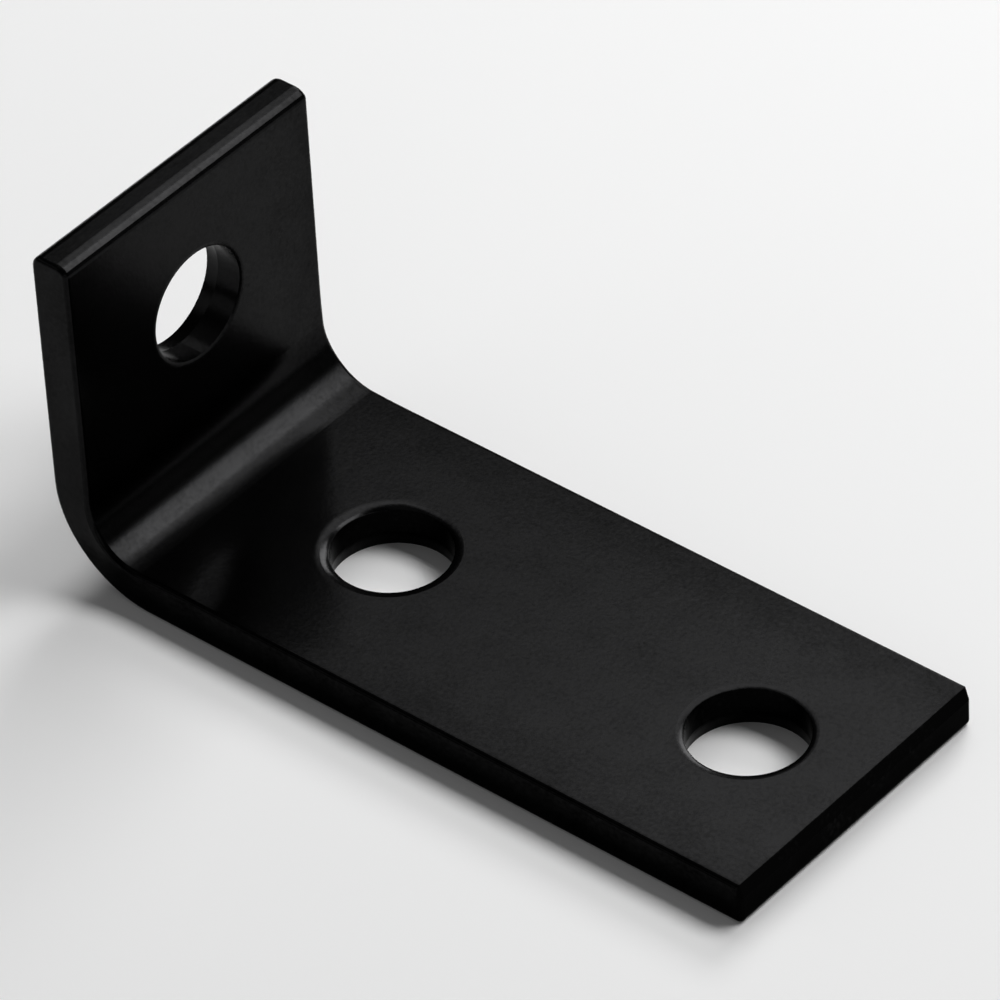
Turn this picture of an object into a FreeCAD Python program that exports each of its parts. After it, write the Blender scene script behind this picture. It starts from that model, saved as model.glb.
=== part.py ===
import FreeCAD, Part
import math
import os
import Sketcher

# Corner brace: one flat steel bar, bent to a right angle, with three punched bolt holes.
# The long leg lies on the ground along +X and the short leg stands up along +Z. The features
# are drawn with X = 0 on the outer face of the short leg, Z = 0 on the outer face of the long
# leg and Y = 0 in the middle of the bar. The finished brace is then moved along X, so that
# its origin is the middle of the ground area that it covers.

# Driving sizes in millimetres and degrees, kept in the document's sheet under these names
drivingSizes = {
    # The bar and its bend
    "barWidth": 38.1,
    "barThickness": 4.95,
    "barEdgeRadius": 0.55,
    "longLeg": 91.8,
    "shortLeg": 42.65,
    "bendRadius": 7.15,
    # The bend thins the bar, so its inner radius comes out tighter by this much. It squeezes
    # the bar's inner side out past its width and draws the outer side in
    "bendTightening": 0.75,
    "bendSwell": 0.35,
    "bendNeck": 0.1,
    "swellReach": 4.0,
    # Bolt holes, punched from the inner faces. The punch draws the face down round each rim,
    # and the hole breaks out wider at the outer face. The near hole is placed from the short
    # leg's outer face, the others from their leg's end
    "holeDiameter": 13.3,
    "nearHolePlace": 30.05,
    "farHoleInset": 14.15,
    "shortLegHoleInset": 16.6,
    "nearDrawWidth": 0.95,
    "nearDrawDepth": 0.17,
    "farDrawWidth": 0.75,
    "farDrawDepth": 0.12,
    "shortLegDrawWidth": 0.6,
    "shortLegDrawDepth": 0.11,
    "breakoutWidth": 0.3,
    "breakoutHeight": 1.8,
    # Sheared end of the long leg: rolled at its outer edge, burnished, then broken off
    "longEndRadius": 0.7,
    "longEndBurnish": 3.4,
    "longEndBreak": 0.5,
    # Sheared end of the short leg, rounded from the inner face over to the outer face
    "shortEndInnerRadius": 0.9,
    "shortEndInnerAngle": 48.0,
    "shortEndCrownRadius": 2.0,
    "shortEndOuterRadius": 1.5,
    # Stock at each side of the padded outline, which the two side trims take off
    "trimStock": 2.0,
}

middlePlane = "XZ_Plane"
cutOverrun = 1.0
patchCells = 14
depthMargin = 0.5

doc = FreeCAD.newDocument("corner_brace")
sheet = doc.addObject("Spreadsheet::Sheet", "sizes")


def fillSheet():
    for row, (name, value) in enumerate(drivingSizes.items(), start=1):
        sheet.set(f"A{row}", name)
        sheet.set(f"B{row}", str(value))
        sheet.setAlias(f"B{row}", name)
    doc.recompute()


def size(name):
    return float(sheet.get(name))


def middleSketch(body, name):
    # A sketch on the plane through the middle of the bar: its x runs along X and its y along Z
    sketch = body.newObject("Sketcher::SketchObject", name)
    plane = next(item for item in body.Origin.OriginFeatures if item.Role == middlePlane)
    sketch.AttachmentSupport = [(plane, "")]
    sketch.MapMode = "FlatFace"
    return sketch


def line(start, end):
    return Part.LineSegment(FreeCAD.Vector(*start, 0), FreeCAD.Vector(*end, 0))


def arc(centre, radius, startAngle, endAngle):
    circle = Part.Circle(FreeCAD.Vector(*centre, 0), FreeCAD.Vector(0, 0, 1), radius)
    return Part.ArcOfCircle(circle, math.radians(startAngle), math.radians(endAngle))


def bind(sketch, name, value, formula, kind, *places):
    # A dimension drawn at its present value, which follows the sheet from then on
    index = sketch.addConstraint(Sketcher.Constraint(kind, *places, value))
    sketch.renameConstraint(index, name)
    sketch.setExpression("Constraints." + name, formula)


def relate(sketch, kind, *places):
    sketch.addConstraint(Sketcher.Constraint(kind, *places))


def drawSideOutline(body):
    # The bar seen from its side, anticlockwise from the ground face of the long leg
    sketch = middleSketch(body, "side_outline")
    thickness, length, height = size("barThickness"), size("longLeg"), size("shortLeg")
    innerBend = size("bendRadius") - size("bendTightening")
    outerBend = size("bendRadius") + thickness
    innerAxis = innerBend + thickness
    endRoll, burnish, breakIn = size("longEndRadius"), size("longEndBurnish"), size("longEndBreak")
    innerRoll, turn = size("shortEndInnerRadius"), size("shortEndInnerAngle")
    crown, outerRoll = size("shortEndCrownRadius"), size("shortEndOuterRadius")
    rollX = thickness - innerRoll
    crownX = rollX + (innerRoll - crown) * math.cos(math.radians(turn))
    crownZ = height - crown
    rollZ = crownZ - (innerRoll - crown) * math.sin(math.radians(turn))

    (ground, groundRoll, endFace, breakFace, longInner, bendInner, shortInner, topRoll, topCrown,
     topFlat, topOuterRoll, shortOuter, bendOuter) = sketch.addGeometry([
         line((outerBend, 0), (length - endRoll, 0)),
         arc((length - endRoll, endRoll), endRoll, -90, 0),
         line((length, endRoll), (length, burnish)),
         line((length, burnish), (length - breakIn, thickness)),
         line((length - breakIn, thickness), (innerAxis, thickness)),
         arc((innerAxis, innerAxis), innerBend, 180, 270),
         line((thickness, innerAxis), (thickness, rollZ)),
         arc((rollX, rollZ), innerRoll, 0, turn),
         arc((crownX, crownZ), crown, turn, 90),
         line((crownX, height), (outerRoll, height)),
         arc((outerRoll, height - outerRoll), outerRoll, 90, 180),
         line((0, height - outerRoll), (0, outerBend)),
         arc((outerBend, outerBend), outerBend, 180, 270),
     ], False)

    start, end = 1, 2
    origin, xAxis, yAxis = (-1, 1), -1, -2
    smoothJoints = [
        (ground, end, groundRoll, start), (groundRoll, end, endFace, start),
        (longInner, end, bendInner, end), (bendInner, start, shortInner, start),
        (shortInner, end, topRoll, start), (topRoll, end, topCrown, start),
        (topCrown, end, topFlat, start), (topFlat, end, topOuterRoll, start),
        (topOuterRoll, end, shortOuter, start), (shortOuter, end, bendOuter, start),
        (bendOuter, end, ground, start),
    ]
    for joint in smoothJoints:
        relate(sketch, "Tangent", *joint)
    relate(sketch, "Coincident", endFace, end, breakFace, start)
    relate(sketch, "Coincident", breakFace, end, longInner, start)
    for level in (ground, longInner, topFlat):
        relate(sketch, "Horizontal", level)
    for upright in (endFace, shortInner, shortOuter):
        relate(sketch, "Vertical", upright)
    relate(sketch, "PointOnObject", ground, start, xAxis)
    relate(sketch, "PointOnObject", shortOuter, start, yAxis)

    bind(sketch, "longLegThickness", thickness, "sizes.barThickness",
         "DistanceY", ground, start, longInner, end)
    bind(sketch, "shortLegThickness", thickness, "sizes.barThickness",
         "DistanceX", shortOuter, end, shortInner, start)
    bind(sketch, "longLeg", length, "sizes.longLeg", "DistanceX", *origin, endFace, start)
    bind(sketch, "shortLeg", height, "sizes.shortLeg", "DistanceY", *origin, topFlat, start)
    bind(sketch, "innerBendRadius", innerBend, "sizes.bendRadius - sizes.bendTightening",
         "Radius", bendInner)
    bind(sketch, "outerBendRadius", outerBend, "sizes.bendRadius + sizes.barThickness",
         "Radius", bendOuter)
    bind(sketch, "longEndRadius", endRoll, "sizes.longEndRadius", "Radius", groundRoll)
    bind(sketch, "longEndBurnish", burnish, "sizes.longEndBurnish",
         "DistanceY", *origin, endFace, end)
    bind(sketch, "longEndBreak", breakIn, "sizes.longEndBreak",
         "DistanceX", longInner, start, endFace, end)
    bind(sketch, "shortEndInnerRadius", innerRoll, "sizes.shortEndInnerRadius", "Radius", topRoll)
    bind(sketch, "shortEndInnerAngle", math.radians(turn), "sizes.shortEndInnerAngle * 1 deg",
         "Angle", topRoll)
    bind(sketch, "shortEndCrownRadius", crown, "sizes.shortEndCrownRadius", "Radius", topCrown)
    bind(sketch, "shortEndOuterRadius", outerRoll, "sizes.shortEndOuterRadius",
         "Radius", topOuterRoll)
    return sketch


def padBar(body):
    outline = drawSideOutline(body)
    bar = body.newObject("PartDesign::Pad", "bent_bar")
    bar.Profile = outline
    bar.SideType = "Symmetric"
    bar.setExpression("Length", "sizes.barWidth + 2 * sizes.trimStock")
    doc.recompute()
    return bar


def drawHoleSection(body, name, drawWidth, drawDepth):
    # Half the section of one punched hole. Its y axis is the hole's axis, 0 at the outer face.
    # From there up: the breakout cone, the burnished wall and the rim that the punch drew down.
    sketch = middleSketch(body, name + "_section")
    thickness, radius = size("barThickness"), size("holeDiameter") / 2
    width, depth = size(drawWidth), size(drawDepth)
    mouth = radius + size("breakoutWidth")
    breakout = size("breakoutHeight")
    rim = radius + width
    rimRadius = (width ** 2 + depth ** 2) / (2 * depth)
    rimTurn = math.degrees(math.asin(width / rimRadius))
    below, above = -cutOverrun, thickness + cutOverrun
    (foot, skirt, cone, wall, rimArc, throat, cap, axis) = sketch.addGeometry([
        line((0, below), (mouth, below)),
        line((mouth, below), (mouth, 0)),
        line((mouth, 0), (radius, breakout)),
        line((radius, breakout), (radius, thickness - depth)),
        arc((rim, thickness - rimRadius), rimRadius, 90, 90 + rimTurn),
        line((rim, thickness), (rim, above)),
        line((rim, above), (0, above)),
        line((0, above), (0, below)),
    ], False)

    start, end, centre = 1, 2, 3
    origin, xAxis, yAxis = (-1, 1), -1, -2
    for joint in ((foot, end, skirt, start), (skirt, end, cone, start), (cone, end, wall, start),
                  (wall, end, rimArc, end), (rimArc, start, throat, start),
                  (throat, end, cap, start), (cap, end, axis, start), (axis, end, foot, start)):
        relate(sketch, "Coincident", *joint)
    relate(sketch, "Vertical", rimArc, start, rimArc, centre)
    for level in (foot, cap):
        relate(sketch, "Horizontal", level)
    for upright in (skirt, wall, throat):
        relate(sketch, "Vertical", upright)
    relate(sketch, "PointOnObject", axis, start, yAxis)
    relate(sketch, "PointOnObject", axis, end, yAxis)
    relate(sketch, "PointOnObject", skirt, end, xAxis)

    bind(sketch, "holeRadius", radius, "sizes.holeDiameter / 2",
         "DistanceX", *origin, wall, start)
    bind(sketch, "breakoutWidth", mouth - radius, "sizes.breakoutWidth",
         "DistanceX", cone, end, cone, start)
    bind(sketch, "breakoutHeight", breakout, "sizes.breakoutHeight",
         "DistanceY", *origin, wall, start)
    bind(sketch, "drawWidth", width, "sizes." + drawWidth,
         "DistanceX", wall, end, rimArc, start)
    bind(sketch, "drawDepth", depth, "sizes." + drawDepth,
         "DistanceY", wall, end, rimArc, start)
    bind(sketch, "innerFace", thickness, "sizes.barThickness",
         "DistanceY", *origin, rimArc, start)
    relate(sketch, "DistanceY", foot, start, *origin, cutOverrun)
    relate(sketch, "DistanceY", throat, start, throat, end, cutOverrun)
    return sketch


def punchHole(body, name, drawSizes, turn, place, formula):
    # The section is turned from the bar's ground direction and moved along the leg
    section = drawHoleSection(body, name, *drawSizes)
    section.AttachmentOffset = FreeCAD.Placement(
        FreeCAD.Vector(), FreeCAD.Rotation(FreeCAD.Vector(0, 0, 1), turn))
    section.setExpression("AttachmentOffset.Base." + place, formula)
    doc.recompute()
    before = body.Shape.Volume
    hole = body.newObject("PartDesign::Groove", name)
    hole.Profile = section
    hole.ReferenceAxis = (section, ["V_Axis"])
    hole.Angle = 360
    doc.recompute()
    plainHole = math.pi * (size("holeDiameter") / 2) ** 2 * size("barThickness")
    if before - body.Shape.Volume < plainHole:
        raise RuntimeError(name + " removes too little of the bar")
    return hole


def swellAt(x, z):
    # How far the side face stands out at a point, from how far round the bend the point is
    # and how deep it lies between the inner face and the outer face
    thickness = size("barThickness")
    bendAxis = size("bendRadius") + thickness
    middleRadius = bendAxis - thickness / 2
    quarter = middleRadius * math.pi / 2
    toShortLeg, toGround = bendAxis - x, bendAxis - z
    if toShortLeg < 0:
        along, radius = quarter - toShortLeg, toGround
    elif toGround < 0:
        along, radius = toGround, toShortLeg
    else:
        along = middleRadius * math.atan2(toGround, toShortLeg)
        radius = math.hypot(toShortLeg, toGround)
    share = (along - quarter / 2) / (quarter / 2 + size("swellReach"))
    if abs(share) >= 1:
        return 0.0
    fade = math.cos(share * math.pi / 2) ** 2
    depth = 1 - (bendAxis - radius) / thickness
    depth = min(max(depth, -depthMargin), 1 + depthMargin)
    return fade * (size("bendSwell") * (1 - depth) ** 2 - size("bendNeck") * depth ** 2)


def swellPatch(half, zoneEnd):
    # The side face round the bend, as one cubic surface over a square grid of cells
    first = -2 * cutOverrun
    knots = [first + (zoneEnd - first) * index / patchCells for index in range(patchCells + 1)]
    padded = [knots[0]] * 3 + knots + [knots[-1]] * 3
    places = [sum(padded[index + 1:index + 4]) / 3 for index in range(patchCells + 3)]
    poles = [[FreeCAD.Vector(x, half + swellAt(x, z), z) for z in places] for x in places]
    repeats = [4] + [1] * (patchCells - 1) + [4]
    surface = Part.BSplineSurface()
    surface.buildFromPolesMultsKnots(poles, repeats, repeats, knots, knots, False, False, 3, 3)
    return surface.toShape()


def sideTrim(name, side):
    # Stock beside one side face: its inner face is flat along both legs and swells at the bend
    half = size("barWidth") / 2
    depth = size("trimStock") + 2 * cutOverrun
    first = -2 * cutOverrun
    lastX, lastZ = size("longLeg") + 2 * cutOverrun, size("shortLeg") + 2 * cutOverrun
    zoneEnd = size("bendRadius") + size("barThickness") + size("swellReach") + 3 * cutOverrun
    bendStock = swellPatch(half, zoneEnd).extrude(FreeCAD.Vector(0, depth, 0))
    longStock = Part.makeBox(lastX - zoneEnd, depth, lastZ - first,
                             FreeCAD.Vector(zoneEnd, half, first))
    shortStock = Part.makeBox(zoneEnd - first, depth, lastZ - zoneEnd,
                              FreeCAD.Vector(first, half, zoneEnd))
    whole = bendStock.fuse([longStock, shortStock]).removeSplitter().Solids[0]
    if side < 0:
        whole = whole.mirror(FreeCAD.Vector(), FreeCAD.Vector(0, 1, 0))
    stock = doc.addObject("Part::Feature", name)
    stock.Shape = whole
    trim = doc.addObject("PartDesign::Body", name + "_body")
    trim.BaseFeature = stock
    doc.recompute()
    return trim


def trimSides(body):
    before = body.Shape.Volume
    trims = body.newObject("PartDesign::Boolean", "side_trims")
    trims.Type = "Cut"
    trims.addObjects([sideTrim("front_trim", -1), sideTrim("back_trim", 1)])
    doc.recompute()
    if body.Shape.Volume >= before:
        raise RuntimeError("the side trims take nothing off")
    return trims


def facesSideways(face):
    low, high, first, last = face.ParameterRange
    normal = face.normalAt((low + high) / 2, (first + last) / 2)
    return abs(normal.y) > math.cos(math.radians(45))


def barEdges(shape):
    # The edges that run round the two side faces. A seam inside a side face isn't one of them.
    names = []
    for index, edge in enumerate(shape.Edges, start=1):
        faces = shape.ancestorsOfType(edge, Part.Face)
        if sum(facesSideways(face) for face in faces) == 1:
            names.append(f"Edge{index}")
    return names


def roundEdges(body, trims):
    edges = body.newObject("PartDesign::Fillet", "bar_edges")
    edges.Base = (trims, barEdges(trims.Shape))
    edges.setExpression("Radius", "sizes.barEdgeRadius")
    doc.recompute()
    return edges


def makeBrace():
    body = doc.addObject("PartDesign::Body", "corner_brace")
    body.Label = "corner_brace"
    padBar(body)
    punchHole(body, "near_hole", ("nearDrawWidth", "nearDrawDepth"), 0,
              "x", "sizes.nearHolePlace")
    punchHole(body, "far_hole", ("farDrawWidth", "farDrawDepth"), 0,
              "x", "sizes.longLeg - sizes.farHoleInset")
    punchHole(body, "short_leg_hole", ("shortLegDrawWidth", "shortLegDrawDepth"), -90,
              "y", "sizes.shortLeg - sizes.shortLegHoleInset")
    trims = trimSides(body)
    roundEdges(body, trims)
    body.setExpression("Placement.Base.x", "-sizes.longLeg / 2")
    doc.recompute()
    return body


def checkDocument():
    for item in doc.Objects:
        if {"Invalid", "Error"} & set(item.State):
            raise RuntimeError(item.Name + " failed")


def writePart(part):
    shape = part.Shape
    if shape.isNull() or not shape.isValid() or len(shape.Solids) != 1:
        raise RuntimeError(part.Label + " is not one sound solid")
    os.makedirs("parts", exist_ok=True)
    shape.exportStep("parts/" + part.Label + ".step")
    box = shape.optimalBoundingBox(True, False)
    print(part.Label, "volume", round(shape.Volume, 1), "mm3, size",
          round(box.XLength, 2), round(box.YLength, 2), round(box.ZLength, 2))


fillSheet()
brace = makeBrace()
checkDocument()
writePart(brace)
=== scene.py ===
import bpy
import math
from mathutils import Matrix, Vector

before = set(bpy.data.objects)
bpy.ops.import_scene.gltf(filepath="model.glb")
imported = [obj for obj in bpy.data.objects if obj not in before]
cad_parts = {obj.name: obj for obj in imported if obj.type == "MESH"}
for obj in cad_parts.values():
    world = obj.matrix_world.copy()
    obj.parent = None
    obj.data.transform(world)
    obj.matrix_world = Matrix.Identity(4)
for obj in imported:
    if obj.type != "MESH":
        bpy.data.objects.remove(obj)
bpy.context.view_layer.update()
print("corner brace loaded")

scene = bpy.context.scene
scene.view_settings.view_transform = "Standard"


# Shader maths: a wrapped socket, so that expressions on values add their Math nodes
class Signal:
    def __init__(self, maker, socket):
        self.maker, self.socket = maker, socket

    def maths(self, operation, first, second):
        return self.maker.node("ShaderNodeMath", {"operation": operation},
                               {0: first, 1: second})

    def __add__(self, other): return self.maths("ADD", self, other)
    def __radd__(self, other): return self.maths("ADD", other, self)
    def __sub__(self, other): return self.maths("SUBTRACT", self, other)
    def __rsub__(self, other): return self.maths("SUBTRACT", other, self)
    def __mul__(self, other): return self.maths("MULTIPLY", self, other)
    def __rmul__(self, other): return self.maths("MULTIPLY", other, self)
    def __pow__(self, other): return self.maths("POWER", self, other)
    def __abs__(self): return self.maths("ABSOLUTE", self, 0)


class NodeMaker:
    def __init__(self, tree):
        self.tree = tree
        tree.nodes.clear()

    # One node: its settings first, then the values or links of its sockets
    def node(self, kind, settings, inputs, output=0):
        made = self.tree.nodes.new(kind)
        for name, value in settings.items():
            setattr(made, name, value)
        for name, value in inputs.items():
            if isinstance(value, Signal):
                self.tree.links.new(value.socket, made.inputs[name])
            else:
                made.inputs[name].default_value = value
        return Signal(self, made.outputs[output]) if made.outputs else made


# Stands a camera or a lamp at a place. The three directions are those of its own X, Y and Z
def stand(thing, place, right, up, back):
    turned = Matrix((right, up, back)).transposed().to_4x4()
    thing.matrix_world = Matrix.Translation(place) @ turned


# The photograph's viewpoint. The camera looks past a point near the middle of the brace, which
# is moved right and up in the picture. Lengths are in metres, and angles in degrees
photoView = {
    "azimuth": 41.766,
    "elevation": 40.170,
    "roll": -3.331,
    "distance": 0.86979,
    "pixelsPerMetre": 9649.4,
    "pictureWidth": 1000,
    "aim": (-0.00622, 0.0, 0.01488),
    "aimRight": 0.0043811,
    "aimUp": 0.0013941,
    "sensor": 36.0,
    "clipStart": 0.01,
}


def placeCamera():
    azimuth, lift, roll = (
        math.radians(photoView[angle]) for angle in ("azimuth", "elevation", "roll"))
    back = Vector((math.sin(azimuth) * math.cos(lift), -math.cos(azimuth) * math.cos(lift),
                   math.sin(lift)))
    levelRight = Vector((math.cos(azimuth), math.sin(azimuth), 0))
    levelUp = back.cross(levelRight)
    right = levelRight * math.cos(roll) + levelUp * math.sin(roll)
    up = levelUp * math.cos(roll) - levelRight * math.sin(roll)
    aim = Vector(photoView["aim"]) + right * photoView["aimRight"] + up * photoView["aimUp"]
    distance, sensor = photoView["distance"], photoView["sensor"]
    bpy.ops.object.camera_add()
    camera = bpy.context.object
    camera.name = "photoCamera"
    stand(camera, aim + back * distance, right, up, back)
    camera.data.sensor_width = sensor
    camera.data.lens = (photoView["pixelsPerMetre"] * distance * sensor
                        / photoView["pictureWidth"])
    camera.data.clip_start = photoView["clipStart"]
    scene.camera = camera


placeCamera()
print("camera placed")


# Floor and soft lamps. A lamp stands in its direction from the brace and faces it. Its width
# runs level and its height across that, both turned by its turn. Its brightness is that of its
# face, with white as 1. The three fills are for views from the other sides, where they show in
# the long leg's upper face
studio = {
    "floorSize": 12.0,
    "floorColour": (0.9, 0.9, 0.9, 1),
    "floorRoughness": 0.9,
    "floorShine": 0.0,
    "worldColour": (1, 1, 1, 1),
    "worldBrightness": 0.05,
    "lamps": {
        "overheadSoftbox": {"towards": (0.31, 0.475, 0.82), "distance": 0.9,
                            "size": (0.484, 0.34), "turn": 35.5, "brightness": 8.0},
        "leftSoftbox": {"towards": (-0.203, 0.498, 0.843), "distance": 0.9,
                        "size": (0.59, 0.36), "turn": -25.2, "brightness": 3.15},
        "leftStrip": {"towards": (-0.531, 0.447, 0.720), "distance": 0.95,
                      "size": (0.07, 0.35), "turn": -44.1, "brightness": 1.8},
        "backPanel": {"towards": (-0.27, 0.80, 0.53), "distance": 1.2,
                      "size": (0.46, 0.32), "turn": 0, "brightness": 11.0},
        "ceilingPanel": {"towards": (-0.30, -0.12, 0.95), "distance": 1.3,
                         "size": (1.3, 0.8), "turn": 0, "brightness": 0.2},
        "frontFill": {"towards": (0.66, -0.68, 0.30), "distance": 1.5,
                      "size": (1.6, 0.5), "turn": 0, "brightness": 0.6},
        "leftFill": {"towards": (-0.66, -0.60, 0.40), "distance": 1.5,
                     "size": (1.4, 0.6), "turn": 0, "brightness": 0.5},
        "rightFill": {"towards": (0.62, 0.72, 0.29), "distance": 1.5,
                      "size": (1.4, 0.45), "turn": 0, "brightness": 0.22},
    },
}


def layFloor():
    bpy.ops.object.select_all(action="DESELECT")
    bpy.ops.mesh.primitive_plane_add(size=studio["floorSize"], location=(0, 0, 0))
    floor = bpy.context.object
    floor.name = "paleFloor"
    paper = bpy.data.materials.new("palePaper")
    paper.use_nodes = True
    maker = NodeMaker(paper.node_tree)
    sheet = maker.node("ShaderNodeBsdfPrincipled", {}, {
        "Base Color": studio["floorColour"], "Roughness": studio["floorRoughness"],
        "Specular IOR Level": studio["floorShine"]})
    maker.node("ShaderNodeOutputMaterial", {}, {"Surface": sheet})
    floor.data.materials.append(paper)


def hangLamp(name, lamp):
    towards = Vector(lamp["towards"]).normalized()
    level = Vector((0, 0, 1)).cross(towards).normalized()
    across = towards.cross(level)
    turn = math.radians(lamp["turn"])
    wide = level * math.cos(turn) + across * math.sin(turn)
    tall = across * math.cos(turn) - level * math.sin(turn)
    width, height = lamp["size"]
    bpy.ops.object.light_add(type="AREA")
    softbox = bpy.context.object
    softbox.name = name
    softbox.data.shape = "RECTANGLE"
    softbox.data.size, softbox.data.size_y = width, height
    softbox.data.energy = lamp["brightness"] * math.pi * width * height
    stand(softbox, towards * lamp["distance"], wide, tall, towards)


def lightWorld():
    world = bpy.data.worlds.new("dimRoom")
    scene.world = world
    world.use_nodes = True
    maker = NodeMaker(world.node_tree)
    glow = maker.node("ShaderNodeBackground", {}, {
        "Color": studio["worldColour"], "Strength": studio["worldBrightness"]})
    maker.node("ShaderNodeOutputWorld", {}, {"Surface": glow})


layFloor()
for lampName, lampValues in studio["lamps"].items():
    hangLamp(lampName, lampValues)
lightWorld()
print("studio lit")


# Satin black powder coat: almost no colour of its own, a soft gloss, and under it the powder's
# waves (peel) and grain. Its gloss is softer on the bend and the short leg. Its shine is
# lowered as painted shade on the walls of the long leg's holes and on its end, towards the long
# edges, and low on the sides, and at random in soft patches and fine specks. Each of these adds
# its share of the darker shell. A pair of values says where a change starts and ends. A noise
# runs from 0 to 1, and its From value is where it changes nothing. A hole's place is that of
# its axis along X. The first hole's rim is drawn in further towards the bend, as shading alone
powderCoat = {
    "shine": (0.0090, 0.0090, 0.0092, 1),
    "edgeShine": (0.72, 0.72, 0.72, 1),
    # The darker shell, mixed in as painted shade and at random in patches and specks
    "patchAndShadeShine": (0.0014, 0.0014, 0.0014, 1),
    "patchAndShadeEdgeShine": (0.52, 0.52, 0.52, 1),
    "roughness": 0.185,
    "bendRoughness": 0.055,
    "bendEnd": (-0.036, -0.031),
    "driftRoughness": 0.04,
    "driftSize": 0.012,
    "driftDetail": 3,
    "driftFrom": 0.5,
    "peelSize": 0.0013,
    "peelDetail": 1,
    "peelDepth": 0.0000060,
    "grainSize": 0.00045,
    "grainDetail": 2,
    "grainDepth": 0.0000060,
    "longLegHoles": (-0.01585, 0.03175),
    "wallRadius": 0.00672,
    # The long leg's end, darkened as painted shade like the walls of its holes, and the soft
    # edge of that shade
    "longEnd": 0.04538,
    "paintedShadeBlend": 0.0001,
    # Painted shade towards the long edges
    "sidePaintedShade": 0.22,
    "sideFrom": (0.010, 0.018),
    # Painted shade low on the sides
    "lowSidePaintedShade": 0.45,
    "lowSideFrom": (0.0182, 0.0187),
    "lowSideHeight": (0.004, 0.007),
    "patchDullness": 0.55,
    "patchSize": 0.0045,
    "patchDetail": 3,
    "patchFrom": 0.38,
    "speckDullness": 0.9,
    "speckSize": 0.0005,
    "speckDetail": 2,
    "speckFrom": 0.5,
    "rimWidth": 0.0016,
    "rimFall": 0.00020,
    "rimTurn": (0.0, 0.005),
}


def mixPowderCoat():
    coat = bpy.data.materials.new("satinBlackPowderCoat")
    coat.use_nodes = True
    maker = NodeMaker(coat.node_tree)
    place = maker.node("ShaderNodeTexCoord", {}, {}, "Object")
    along, across, height = (
        maker.node("ShaderNodeSeparateXYZ", {}, {"Vector": place}, axis) for axis in "XYZ")
    aside = abs(across)

    def noise(kind):
        return maker.node("ShaderNodeTexNoise", {}, {
            "Vector": place, "Scale": 1 / powderCoat[kind + "Size"],
            "Detail": powderCoat[kind + "Detail"]}, "Fac")

    # 0 below the start and 1 above the end, with a soft step between
    def step(value, start, end):
        return maker.node("ShaderNodeMapRange", {"interpolation_type": "SMOOTHSTEP"}, {
            "Value": value, "From Min": start, "From Max": end})

    # A soft step at the edge of the painted shade on the long leg's end and hole walls
    def past(value, start):
        return step(value, start - powderCoat["paintedShadeBlend"], start + powderCoat["paintedShadeBlend"])

    def fromAxis(axisPlace):
        return ((along - axisPlace) ** 2 + across ** 2) ** 0.5

    def bump(relief, depth, under=None):
        inputs = {"Height": relief, "Distance": depth}
        if under:
            inputs["Normal"] = under
        return maker.node("ShaderNodeBump", {}, inputs)

    # How far in the rim a point lies: 1 at the hole's wall, 0 at the rim's outer edge
    rimHole, wallRadius = powderCoat["longLegHoles"][0], powderCoat["wallRadius"]
    inRim = maker.node("ShaderNodeMapRange", {}, {
        "Value": fromAxis(rimHole), "From Min": wallRadius,
        "From Max": wallRadius + powderCoat["rimWidth"], "To Min": 1.0, "To Max": 0.0})
    nearBend = step(rimHole - along, *powderCoat["rimTurn"])
    rim = bump(inRim ** 2 * nearBend, -powderCoat["rimFall"])
    peel = bump(noise("peel"), powderCoat["peelDepth"], rim)
    grain = bump(noise("grain"), powderCoat["grainDepth"], peel)

    drift = noise("drift") - powderCoat["driftFrom"]
    bent = 1 - step(along, *powderCoat["bendEnd"])
    roughness = (powderCoat["roughness"] + drift * powderCoat["driftRoughness"]
                 + bent * powderCoat["bendRoughness"])

    # Painted shade: a darker reflection on the long leg's end and on the walls of its holes
    shadeAndPatches = past(along, powderCoat["longEnd"])
    for axisPlace in powderCoat["longLegHoles"]:
        shadeAndPatches = shadeAndPatches + (1 - past(fromAxis(axisPlace), wallRadius))
    # Painted shade towards the long edges
    shadeAndPatches = shadeAndPatches + step(aside, *powderCoat["sideFrom"]) * powderCoat["sidePaintedShade"]
    # Painted shade low on the sides, near the floor
    low = 1 - step(height, *powderCoat["lowSideHeight"])
    shadeAndPatches = shadeAndPatches + step(aside, *powderCoat["lowSideFrom"]) * low * powderCoat["lowSidePaintedShade"]
    for kind in ("patch", "speck"):
        shadeAndPatches = shadeAndPatches + (noise(kind) - powderCoat[kind + "From"]) * powderCoat[kind + "Dullness"]

    def shell(shine, edgeShine):
        return maker.node("ShaderNodeBsdfPrincipled", {}, {
            "Base Color": powderCoat[shine], "Metallic": 1.0, "Roughness": roughness,
            "Specular Tint": powderCoat[edgeShine], "Normal": grain})

    # The darker shell is mixed in by the painted shade and by the random patches and specks
    coated = maker.node("ShaderNodeMixShader", {}, {
        0: shadeAndPatches, 1: shell("shine", "edgeShine"), 2: shell("patchAndShadeShine", "patchAndShadeEdgeShine")})
    maker.node("ShaderNodeOutputMaterial", {}, {"Surface": coated})
    return coat


def coatBrace():
    coat = mixPowderCoat()
    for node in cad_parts.values():
        node.data.materials.clear()
        node.data.materials.append(coat)


coatBrace()
print("brace coated")
